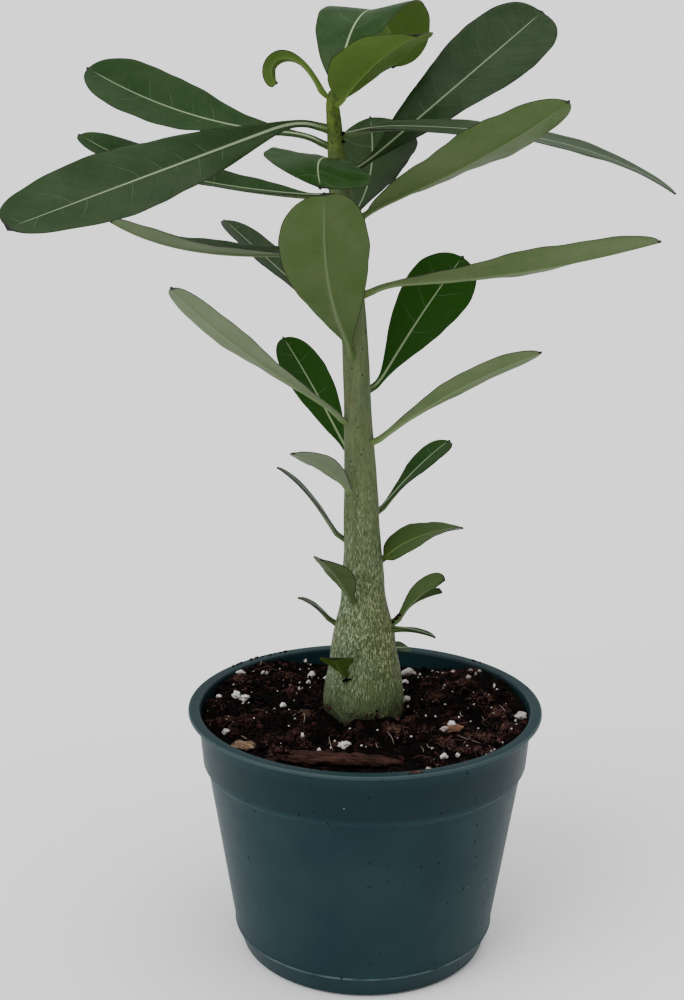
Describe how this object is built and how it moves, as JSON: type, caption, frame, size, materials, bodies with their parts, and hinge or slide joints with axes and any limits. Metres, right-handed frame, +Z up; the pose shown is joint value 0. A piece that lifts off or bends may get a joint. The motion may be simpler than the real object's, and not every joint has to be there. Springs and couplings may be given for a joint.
{
  "type": "potted desert rose plant",
  "caption": "Young desert rose in a round nursery pot: swollen caudex tapering to an upright stem, with spatulate leaves spiralling up to a crown.",
  "frame": {"origin": "centre of the pot's underside, on the flat centre pad that stands level with the foot ring", "axes": "+Z up along the pot's axis, +X to the right in the picture, -Y towards the viewer"},
  "size_m": [0.278, 0.165, 0.4377],
  "materials": {
    "pot_plastic": "satin dark teal moulded plastic",
    "soil_mix": "matte crumbly potting mix with white perlite",
    "stem_bark": "matte grey-green bark with pale fissures",
    "leaf_green": "leathery dark green leaf, paler underneath",
    "young_leaf_green": "soft yellow-green young leaf",
    "bark_brown": "rough brown conifer bark"
  },
  "bodies": {
    "root": {"pot": "pot_plastic", "soil": "soil_mix", "stem": "stem_bark", "leaf_crown_back": "leaf_green", "leaf_crown_front": "young_leaf_green", "leaf_crown_hook": "young_leaf_green", "leaf_upper_left_back": "leaf_green", "leaf_upper_left": "leaf_green", "leaf_mid_left_back": "leaf_green", "leaf_mid_left": "leaf_green", "leaf_front": "leaf_green", "leaf_back_left": "leaf_green", "leaf_toward_front": "leaf_green", "leaf_toward_back": "leaf_green", "leaf_upper_right_back": "leaf_green", "leaf_upper_right": "leaf_green", "leaf_right_front": "leaf_green", "leaf_mid_right": "leaf_green", "leaf_right_back": "leaf_green", "leaf_lower_left": "leaf_green", "leaf_lower_left_back": "leaf_green", "leaf_lower_right": "leaf_green", "leaf_small_right": "leaf_green", "leaf_small_left": "leaf_green", "leaf_thin_left": "leaf_green", "leaf_folded_right": "leaf_green", "leaf_small_front": "leaf_green", "leaf_low_right": "leaf_green", "leaf_low_right_thin": "leaf_green", "leaf_low_left_thin": "leaf_green", "leaf_low_back": "leaf_green", "leaf_low_stub": "leaf_green", "bark_stick": "bark_brown", "bark_chip_left": "bark_brown", "bark_chip_right": "bark_brown"}
  },
  "joints": []
}
